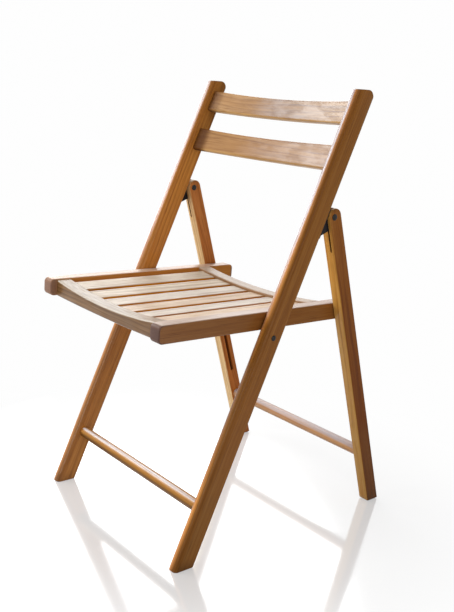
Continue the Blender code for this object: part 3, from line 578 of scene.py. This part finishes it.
def buildLeg(side):
    # A profile from the inner face's middle line, over both long edges, to the outer face's middle
    # line, carried up the front, round the top and down the back. Distance rho is from the middle line.
    board = leg["boards"][side]
    height, lean = stand["rear_frame"]["origin"][2], stand["rear_frame"]["lean"]
    c, r, e, g = leg["centre"], leg["half"], leg["ease"], leg["grooveHalf"]
    inner, outer, mid = leg["inner"], leg["outer"], (leg["inner"] + leg["outer"]) / 2

    def floorAt(b):
        return -(height + b * math.sin(lean)) / math.cos(lean)

    def around(foot, upright, crown):
        # values up the front, over the top and down the back, with two foot rings at either end
        return np.concatenate([[foot, foot], upright, crown, upright[::-1], [foot, foot]])

    zs, width, deep = legStations(floorAt(c))
    count = len(zs)
    phi = np.linspace(0, math.pi, leg["rings"]["crown"])[1:-1]
    base = around(floorAt(c), zs, 0 * phi)[:, None]
    width, deep = around(g, width, g + 0 * phi)[:, None], around(0, deep, 0 * phi)[:, None]
    outZ = around(0, 0 * zs, np.sin(phi))[:, None]
    outB = np.concatenate([-np.ones(count + 2), -np.cos(phi), np.ones(count + 2)])[:, None]

    # profile as columns of x and rho
    arc = np.linspace(0, math.pi / 2, leg["rings"]["arc"])[1:]
    cra = arc[::-1]
    one, flat, kerf = np.ones(base.shape), np.array(leg["flats"]), np.repeat([-1, 1], 3)
    xs = [inner + deep, inner + deep, inner * one, inner * one + 0 * flat, one * (inner + e * (1 - np.cos(arc))),
          one * (leg["kerfMiddle"] + leg["kerfHalf"] * kerf), one * (outer - e * (1 - np.cos(cra))),
          outer * one + 0 * flat, outer * one]
    rhos = [0 * one, width, width, width + (r - e - width) * flat, one * (r - e + e * np.sin(arc)),
            r * one + 0 * kerf, one * (r - e + e * np.sin(cra)), (r - e) * one * flat[::-1], 0 * one]
    x, rho = np.concatenate(xs, 1), np.concatenate(rhos, 1)
    inside, slot, outside = np.zeros(6), np.zeros(6), np.zeros(4)
    corner = np.concatenate([inside, np.sin(2 * arc), slot, np.sin(2 * cra), outside])
    flank = np.concatenate([inside + 1, np.cos(arc) ** 2, slot, np.cos(cra) ** 2, outside + 1])

    # the foot: a sole ring drawn in, and a ring just above it, both parallel to the floor
    soleRings, aboveRings = [0, -1], [1, -2]
    shrink, lift, end = np.zeros(base.shape), np.zeros(base.shape), np.zeros(base.shape)
    shrink[soleRings], lift[aboveRings] = leg["footEase"], leg["footEase"]
    end[soleRings], end[aboveRings] = 1.0, leg["footCut"]
    x = mid + (x - mid) * (1 - shrink / (outer - mid))
    rho = rho * (1 - shrink / r)
    b = c + outB * rho
    z = np.where(end > 0, floorAt(b) + lift, base + outZ * rho)
    end = np.maximum(end, leg["crownCut"] * (outZ * rho / r) ** 4)

    # kerf floor: upright behind the blade, running out to the front face lower down
    front = slice(2, 2 + count)
    lips, floors, slotShadeColumns = [13, 16], [14, 15], slice(13, 17)
    surface = c - r
    floorB = surface + (leg["kerfBack"] - surface) * rise(zs, leg["kerfEnd"], leg["kerfFull"] - leg["kerfEnd"])
    b[front, lips] = np.minimum(floorB, surface + leg["kerfLip"])[:, None]
    b[front, floors] = floorB[:, None]
    lastPhi = math.acos((c - leg["kerfBack"]) / r)
    cut = phi[phi < lastPhi]
    crown = slice(2 + count, 2 + count + len(cut))
    b[crown, lips] += (np.cos(cut) * leg["kerfLip"])[:, None]
    z[crown, lips] -= (np.sin(cut) * leg["kerfLip"])[:, None]
    b[crown, floors] = leg["kerfBack"]
    z[crown, floors] = (r * math.sin(lastPhi) * cut / lastPhi)[:, None]
    # painted shade: the floors of the kerf and the pin groove laid dark
    slotShade = np.zeros(b.shape)
    slotShade[front, slotShadeColumns] = (floorB > surface + leg["kerfLip"])[:, None]
    slotShade[crown, slotShadeColumns] = 1.0
    slotShade[:, :2] = deep > 0

    local = np.stack([sides[side] * x, b, z], axis=-1)
    # painted shade: the side faces darker than the front, and the far leg's outer face darker again; the side faces
    # also darken towards the foot
    darkerDown = board["footDark"] * rise(-z, *leg["darkDown"])
    shaded = board["outerShade"] * flank * (x > mid)
    end = np.maximum(np.maximum(end, slotShade), np.maximum(darkerDown, shaded))
    # the near leg's side faces turn darker and more olive towards the foot
    oliveLift = leg["footOlivePale"] * board["footOlive"] * rise(-z, *leg["footOliveDown"])
    tone = (board["flankShade"] - board["fall"] * z - oliveLift) * flank + slotShade
    polish = (1 - slotShade) * (leg["gloss"] - leg["flankDull"] * flank)
    tintAndSheen = board["footOlive"] * flank * np.interp(-z, *leg["footOliveAt"])
    marks = boardMarks(local, [0, 1, 2], board["heart"], corner * leg["edgeWear"], end, tone, polish, tintAndSheen)
    index = np.arange(b.size).reshape(b.shape)
    quads = np.stack([index[:-1, :-1], index[:-1, 1:], index[1:, 1:], index[1:, :-1]], axis=-1).reshape(-1, 4)
    sole = np.stack([index[0, :-1], index[0, 1:], index[-1, 1:], index[-1, :-1]], axis=-1)
    makePiece("rear_leg_" + side + "_shaped", local, [*quads.tolist(), *sole.tolist()], "rear_frame",
              litAndShadedLegWood[side], marks, ["rear_leg_" + side])


for side in sides:
    buildLeg(side)
print("rear legs made")

# Side rails of the seat, with round noses. Their tops get a painted sheen, and the near rail's tone and the far
# rail's outer face carry painted shade.
rail = {
    "front": -0.2196, "rear": 0.215845, "low": 0.0083, "high": 0.0396, "inner": 0.1596, "outer": 0.1846,
    "noseRound": 0.0085, "leastRound": 0.001, "ease": 0.0024, "easeSteps": 5, "grid": (3, 8, 16),
    "edgeWear": 0.7, "topOver": 0.0013, "noseReach": 0.022, "noseOver": 0.014, "endAndShade": 0.9, "noseCut": 0.8,
    "faceCut": 0.2, "faceSlack": 1e-5, "awayFrom": 0.17, "rearPale": 0.06, "paleBack": (-0.05, 0.10),
    "flankGloss": ((-0.20, -0.05, 0.03), (0.60, 0.30, 0.06)),
    "boards": {
        "left": {"heart": (-0.118, 0.036, 0.2), "tone": 0.80, "tintAndSheen": 0.60, "gloss": 0.60,
            "outerFaceShade": 0.0, "noseTone": 0.10},
        "right": {"heart": (0.205, 0.028, 1.4), "tone": 0.28, "tintAndSheen": 0.75, "gloss": 0.60,
            "outerFaceShade": 0.5, "noseTone": 0.0}}}


def buildRail(side):
    # the rail's side outline, drawn in at both faces by a quarter round
    board = rail["boards"][side]
    inset, lift = roundOver(rail["ease"], rail["easeSteps"])
    drawn = np.concatenate([inset, inset[::-1]])
    x = np.concatenate([rail["inner"] + lift, rail["outer"] - lift[::-1]])
    middle, half = (rail["low"] + rail["high"]) / 2, (rail["high"] - rail["low"]) / 2
    radius = np.maximum(rail["noseRound"] - drawn, rail["leastRound"])
    loop, _, ends = sectionLoop(half - drawn, rail["front"] + drawn, rail["rear"] - drawn, radius, radius,
                                *rail["grid"])
    out = np.broadcast_to(x[:, None], loop.shape[:2])
    along, high = loop[..., 1], loop[..., 0] + middle
    local = np.stack([sides[side] * out, along, high], axis=-1)
    edge = np.tile(np.sin(np.linspace(0, math.pi, rail["easeSteps"])), 2)[:, None]
    nose = rise(rail["front"] + rail["noseReach"] - along, 0, rail["noseOver"])
    upper = rise(high, rail["high"] - rail["topOver"], rail["topOver"])
    outerFace = out > rail["outer"] - rail["faceSlack"]
    end = np.maximum(ends * rail["endAndShade"], rail["noseCut"] * nose) * (1 - upper)
    end = end * np.where(outerFace, rail["faceCut"], 1)
    noseTone = board["noseTone"] * nose * (1 - upper) * np.where(outerFace, -1, 1)
    away = (out > rail["awayFrom"]) * (1 - upper) * (1 - nose)
    flank = np.interp(along, *rail["flankGloss"])
    rearPale = rail["rearPale"] * rise(along, *rail["paleBack"])
    # painted shade: the near rail's higher tone and the far rail's darker outer face
    tone = board["tone"] + noseTone - rearPale + board["outerFaceShade"] * away
    polish = flank + (board["gloss"] - flank) * upper
    # the pale tint on the top paints a sheen
    marks = boardMarks(local, [0, 2, 1], board["heart"], edge * rail["edgeWear"], end, tone, polish,
                       board["tintAndSheen"] * upper)
    makeTube("seat_rail_" + side, "_shaped", local, "seat", glossyWood, marks)


# Cross rails of the seat, dished. Their tops get a painted sheen, the front rail a painted highlight line along its
# top front edge, and the rear rail's tone is partly painted shade.
cross = {
    "reach": 0.1598, "edge": 0.0034, "bottom": 0.0052, "underRise": 0.0023, "stations": 49, "grid": (4, 7, 5),
    "edgeWear": 0.6, "topOver": 0.0014, "highlightAt": 0.0006, "highlightWidth": 0.0008, "highlightReach": 0.002,
    "front": {"ends": (-0.2061, -0.1759), "top": 0.0254, "rise": 0.0118, "finish": wornWood,
        "heart": (0.19, 0.02, 0.6), "tone": 0.28, "tintAndSheen": 0.80, "edgeHighlight": 2.0, "gloss": 0.60,
        "faceGloss": 1.0},
    "rear": {"ends": (0.123545, 0.153745), "top": 0.0293, "rise": 0.0101, "finish": fadedWood,
        "heart": (-0.15, 0.024, 2.9), "tone": 0.60, "tintAndSheen": 0.80, "edgeHighlight": 0.0, "gloss": 0.32,
        "faceGloss": 0.3}}


def buildCross(label):
    # rounded section carried across; top and bottom rise to the sides as x squared
    bar = cross[label]
    x = np.linspace(-1, 1, cross["stations"])
    half = (bar["ends"][1] - bar["ends"][0]) / 2
    top = bar["top"] + bar["rise"] * x ** 2
    loop, corner, _ = sectionLoop(half, cross["bottom"] + cross["underRise"] * x ** 2, top,
                                  cross["edge"], cross["edge"], *cross["grid"])
    across = np.broadcast_to((x * cross["reach"])[:, None], loop.shape[:2])
    local = np.stack([across, loop[..., 0] + sum(bar["ends"]) / 2, loop[..., 1]], axis=-1)
    below = top[:, None] - loop[..., 1]
    upper = 1 - rise(below, 0, cross["topOver"])
    nearFront = loop[..., 0] < cross["highlightReach"] - half
    edgeHighlight = np.exp(-((below - cross["highlightAt"]) / cross["highlightWidth"]) ** 2) * nearFront
    polish = bar["faceGloss"] + (bar["gloss"] - bar["faceGloss"]) * upper
    # painted sheen on the top, and a painted highlight line along the front rail's top front edge
    tintAndSheen = np.maximum(bar["tintAndSheen"] * upper, bar["edgeHighlight"] * edgeHighlight)
    marks = boardMarks(local, [1, 2, 0], bar["heart"], corner * cross["edgeWear"], 0.0, bar["tone"], polish, tintAndSheen)
    makeTube("seat_" + label + "_rail", "_shaped", local, "seat", bar["finish"], marks)


# Seat slats, from the sitter's right to left. Their sides get painted shade where they show in the gaps, and their
# tops a painted sheen.
seatSlat = {
    "count": 6, "gap": 0.0096, "sideGap": 0.0118, "inner": 0.1596, "top": 0.0240, "rise": 0.0118,
    "thick": 0.0120, "edge": 0.0022, "front": -0.1761, "rear": 0.123745, "stations": 9, "grid": (7, 5, 3),
    "edgeWear": 0.5, "sideOver": 0.0016, "underPale": 0.8, "gloss": ((-0.06, 0.11), (1.0, 0.5)),
    "hearts": [(0.02, 0.050, 0.1), (0.05, 0.044, 1.3), (-0.03, 0.058, 2.2), (0.01, 0.040, 3.4),
        (-0.05, 0.052, 4.1), (0.03, 0.047, 5.6)],
    "tones": [0.02, 0.03, 0.0, 0.22, 0.02, 0.22], "tintAndSheen": [0.10, 0.0, 0.26, 0.0, 0.30, 0.0]}


def buildSeatSlat(number):
    # rounded section run from front to back, lifted by the dish, rise times (x / inner) squared
    pitch = (2 * (seatSlat["inner"] - seatSlat["sideGap"]) + seatSlat["gap"]) / seatSlat["count"]
    middle = pitch * (number + 0.5 - seatSlat["count"] / 2)
    u = np.linspace(seatSlat["front"], seatSlat["rear"], seatSlat["stations"])
    top = seatSlat["top"]
    bottom = top - seatSlat["thick"]
    loop, corner, _ = sectionLoop((pitch - seatSlat["gap"]) / 2, bottom + 0 * u, top, seatSlat["edge"],
                                  seatSlat["edge"], *seatSlat["grid"])
    along = np.broadcast_to(u[:, None], loop.shape[:2])
    flat = np.stack([loop[..., 0], along, loop[..., 1]], axis=-1)
    side = rise(top - loop[..., 1], 0, seatSlat["sideOver"])
    under = rise(bottom + seatSlat["edge"] - loop[..., 1], 0, seatSlat["sideOver"])
    # painted shade on the sides, where they show in the gaps
    tone = seatSlat["tones"][number] + side - seatSlat["underPale"] * under
    polish = (1 - side) * np.interp(along, *seatSlat["gloss"])
    # the pale tint paints a sheen on the tops
    tintAndSheen = seatSlat["tintAndSheen"][number] * (1 - side)
    marks = boardMarks(flat, [0, 2, 1], seatSlat["hearts"][number], corner * seatSlat["edgeWear"], 0.0, tone,
                       polish, tintAndSheen)
    x = loop[..., 0] + middle
    local = np.stack([x, along, loop[..., 1] + seatSlat["rise"] * (x / seatSlat["inner"]) ** 2], axis=-1)
    makeTube("seat_slat_" + str(number + 1), "_shaped", local, "seat", seatWood, marks)


for side in sides:
    buildRail(side)
for label in ("front", "rear"):
    buildCross(label)
for number in range(seatSlat["count"]):
    buildSeatSlat(number)
print("seat made")

# Rivets, turned from a domed profile of (share of head height, share of head radius)
rivet = {
    "dome": np.array([(1.0, 0.0), (0.985, 0.22), (0.93, 0.42), (0.83, 0.60), (0.68, 0.76), (0.47, 0.89),
            (0.22, 0.97), (0.0, 1.0)]), "proud": 0.0003, "around": 32,
    "hinge": {"body": "rear_frame", "at": (0.0, 0.0), "span": (0.1870, 0.2095), "shank": 0.0030,
        "head": 0.0057, "height": 0.0024, "node": "hinge_rivet_"},
    "pivot": {"body": "front_frame", "at": (0.0, 0.4174), "span": (0.1849, 0.2095), "shank": 0.0028,
        "head": 0.0048, "height": 0.0024, "node": "seat_pivot_"}}


def buildRivet(label, side):
    # circle whose radius follows dome, shank, dome along X
    pin = rivet[label]
    inner, outer = pin["span"][0] - rivet["proud"], pin["span"][1] + rivet["proud"]
    tall, wide = rivet["dome"][:, 0] * pin["height"], rivet["dome"][:, 1] * pin["head"]
    x = np.concatenate([inner - tall, [inner, outer], (outer + tall)[::-1]])[:, None]
    r = np.concatenate([wide, [pin["shank"], pin["shank"]], wide[::-1]])[:, None]
    a = np.linspace(0, 2 * math.pi, rivet["around"], endpoint=False)
    local = np.stack([sides[side] * x + 0 * a, pin["at"][0] + r * np.cos(a), pin["at"][1] + r * np.sin(a)], axis=-1)
    makeTube(pin["node"] + side, "_domed", local, pin["body"], blackSteel, {})


# Slotted screws that hold each bracket's flange to the post, two rows of two
screw = {
    "radius": 0.0018, "proud": 0.0009, "domeFall": 0.75, "domeDrop": 0.0003, "slotHalf": 0.00035,
    "slotDepth": 0.0006, "slotWall": 0.004, "slotClear": 0.12, "sunk": 0.0008, "chords": 8, "points": 15,
    "face": 0.02055, "offset": 0.00355, "rows": (0.6115, 0.6260), "middle": 0.20165,
    "turns": (0.4, 1.1, 2.0, 2.7)}


def buildScrews(side):
    # Disc of chords: across = s, along = t times the half chord. A low dome with a slot where s is small,
    # and a flat underside sunk in the flange, joined round the rim.
    w, wall = screw["slotHalf"] / screw["radius"], screw["slotWall"]
    chords = np.sin(np.linspace(math.asin(w + screw["slotClear"]), math.pi / 2, screw["chords"]))
    half = np.concatenate([[w - wall, w + wall], chords])
    s = np.concatenate([-half[::-1], half])
    t = np.linspace(-1, 1, screw["points"])
    across = np.broadcast_to(s[:, None], (len(s), len(t)))
    along = np.sqrt(np.maximum(1 - s ** 2, 0))[:, None] * t
    dome = np.sqrt(np.maximum(1 - screw["domeFall"] * (across ** 2 + along ** 2), 0)) * screw["proud"]
    dome = dome - screw["domeDrop"]
    high = np.stack([dome - screw["slotDepth"] * (np.abs(across) < w), 0 * dome - screw["sunk"]])
    index = np.arange(high.size).reshape(high.shape)
    skins = np.stack([index[:, :-1, :-1], index[:, :-1, 1:], index[:, 1:, 1:], index[:, 1:, :-1]], axis=-1)
    rim = index[:, :, [0, -1]]
    rims = np.stack([rim[0, :-1], rim[0, 1:], rim[1, 1:], rim[1, :-1]], axis=-1)
    quads = np.concatenate([skins.reshape(-1, 4), rims.reshape(-1, 4)])
    heads = []
    for turn, (row, dx) in zip(screw["turns"], [(row, dx) for row in screw["rows"] for dx in (-1, 1)]):
        c, q = math.cos(turn), math.sin(turn)
        px, pz = (across * c - along * q) * screw["radius"], (across * q + along * c) * screw["radius"]
        middle = sides[side] * (screw["middle"] + dx * screw["offset"])
        heads.append(np.stack(np.broadcast_arrays(middle + px, screw["face"] + high, row + pz), axis=-1))
    faces = (quads[None] + (np.arange(len(heads)) * high.size)[:, None, None]).reshape(-1, 4).tolist()
    makePiece("bracket_screws_" + side, np.stack(heads), faces, "front_frame", brightSteel, {}, ())


for side in sides:
    buildRivet("hinge", side)
    buildRivet("pivot", side)
    buildScrews(side)

for name, item in frame["nodes"].items():
    if name.startswith(("hinge_bracket", "seat_pivot_plate")):
        item.material_slots[0].material = blackPaint
    if name.startswith("guide_pin"):
        item.material_slots[0].material = brightSteel
print("metal made")

# Floor and room: white, with the chair's soft shadow and a faint reflection of its feet
ground = {
    "size": 12.0, "white": 0.99, "ambient": 0.28, "matt": 0.95, "dull": 0.60, "shadow": 0.34, "mirror": 0.30,
    "mirrorRough": 0.10, "near": 0.30, "far": 0.64}


def lookedAt(start):
    # 1 for rays of the camera, of reflections and of what shows through
    camera, glossy, through = (start.make("ShaderNodeLightPath", {}, {}, "Is " + kind + " Ray")
                               for kind in ("Camera", "Glossy", "Transmission"))
    return start.sum("MAXIMUM", start.sum("MAXIMUM", camera, glossy), through)


def buildFloor():
    # a square that is shaded and mirrors near the chair, glows white further off, and lights only dully
    corners = np.array([(-1, -1, 0), (1, -1, 0), (1, 1, 0), (-1, 1, 0)]) * ground["size"] / 2
    mesh = bpy.data.meshes.new("floor")
    mesh.from_pydata(corners, [], [(0, 1, 2, 3)])
    item = bpy.data.objects.new("floor", mesh)
    bpy.context.scene.collection.objects.link(item)
    material = bpy.data.materials.new("paleFloor")
    material.use_nodes = True
    tree = material.node_tree
    tree.nodes.remove(tree.nodes["Principled BSDF"])
    start = Wire(tree)
    away = start.make("ShaderNodeTexCoord", {}, {}, "Object").length()
    close = 1 - away.ramp(ground["near"], ground["far"])
    matt = start.make("ShaderNodeBsdfDiffuse", {}, {"Color": (*[ground["matt"]] * 3, 1)})
    dull = start.make("ShaderNodeBsdfDiffuse", {}, {"Color": (*[ground["dull"]] * 3, 1)})
    glow = start.make("ShaderNodeEmission", {}, {"Color": (1, 1, 1, 1), "Strength": ground["white"]})
    shine = start.make("ShaderNodeBsdfGlossy", {}, {"Color": (1, 1, 1, 1), "Roughness": ground["mirrorRough"]})
    lit = start.make("ShaderNodeMixShader", {}, {0: close * ground["shadow"], 1: glow, 2: matt})
    seen = start.make("ShaderNodeMixShader", {}, {0: close * ground["mirror"], 1: lit, 2: shine})
    both = start.make("ShaderNodeMixShader", {}, {0: lookedAt(start), 1: dull, 2: seen})
    tree.links.new(both.socket, tree.nodes["Material Output"].inputs["Surface"])
    mesh.materials.append(material)


def buildWorld():
    # white where it is looked at or mirrored, a plain level where it only lights
    world = bpy.data.worlds.new("studio")
    bpy.context.scene.world = world
    world.use_nodes = True
    tree = world.node_tree
    level = lookedAt(Wire(tree)) * (ground["white"] - ground["ambient"]) + ground["ambient"]
    tree.links.new(level.socket, tree.nodes["Background"].inputs["Strength"])
    tree.nodes["Background"].inputs["Color"].default_value = (1, 1, 1, 1)


lamps = {
    "window": {"at": (-1.95, -1.30, 1.90), "aim": (0, 0.1, 0.55), "size": 1.4, "watts": 32.0},
    "front": {"at": (-0.50, -2.50, 0.75), "aim": (0, 0.1, 0.40), "size": 1.3, "watts": 20.0},
    "backLeft": {"at": (-1.85, 1.20, 1.90), "aim": (0, 0, 0.42), "size": 2.2, "watts": 34.0},
    "rim": {"at": (-2.60, 0.42, 0.85), "aim": (0, 0, 0.55), "size": 1.2, "watts": 18.0},
    "overhead": {"at": (0.0, -0.5, 2.4), "aim": (0, 0, 0.3), "size": 1.6, "watts": 10.0},
    "rightFill": {"at": (2.2, -1.2, 1.2), "aim": (0, 0, 0.4), "size": 1.6, "watts": 12.0}}


def buildLamp(name, lamp):
    data = bpy.data.lights.new(name, "AREA")
    data.shape, data.size, data.energy = "DISK", lamp["size"], lamp["watts"]
    item = bpy.data.objects.new(name, data)
    item.location = lamp["at"]
    item.visible_camera = False
    toward = Vector(lamp["aim"]) - Vector(lamp["at"])
    item.rotation_euler = toward.to_track_quat("-Z", "Y").to_euler()
    bpy.context.scene.collection.objects.link(item)


buildFloor()
buildWorld()
for name, lamp in lamps.items():
    buildLamp(name, lamp)

# Camera at the photograph's viewpoint; focal length and picture height are in pixels
viewpoint = {
    "at": (1.2010, -1.01247, 0.7831), "azimuth": 49.42, "elevation": 14.2, "roll": 4.0,
    "focal": 850.7352, "pictureHeight": 612, "sensorHeight": 36.0}


def buildCamera():
    # axes from azimuth and elevation, rolled about the line of sight
    az, el, roll = (math.radians(viewpoint[key]) for key in ("azimuth", "elevation", "roll"))
    look = np.array([-math.sin(az) * math.cos(el), math.cos(az) * math.cos(el), -math.sin(el)])
    right = np.array([math.cos(az), math.sin(az), 0])
    up = np.cross(right, look)
    c, s = math.cos(roll), math.sin(roll)
    axes = np.stack([c * right + s * up, c * up - s * right, -look, viewpoint["at"]], axis=1)
    data = bpy.data.cameras.new("camera")
    data.sensor_fit, data.sensor_height = "VERTICAL", viewpoint["sensorHeight"]
    data.lens = viewpoint["focal"] / viewpoint["pictureHeight"] * viewpoint["sensorHeight"]
    item = bpy.data.objects.new("camera", data)
    item.matrix_world = Matrix([*axes.tolist(), (0, 0, 0, 1)])
    bpy.context.scene.collection.objects.link(item)
    bpy.context.scene.camera = item


buildCamera()
bpy.context.scene.view_settings.view_transform = "Standard"
print("stage, lamps and camera made")
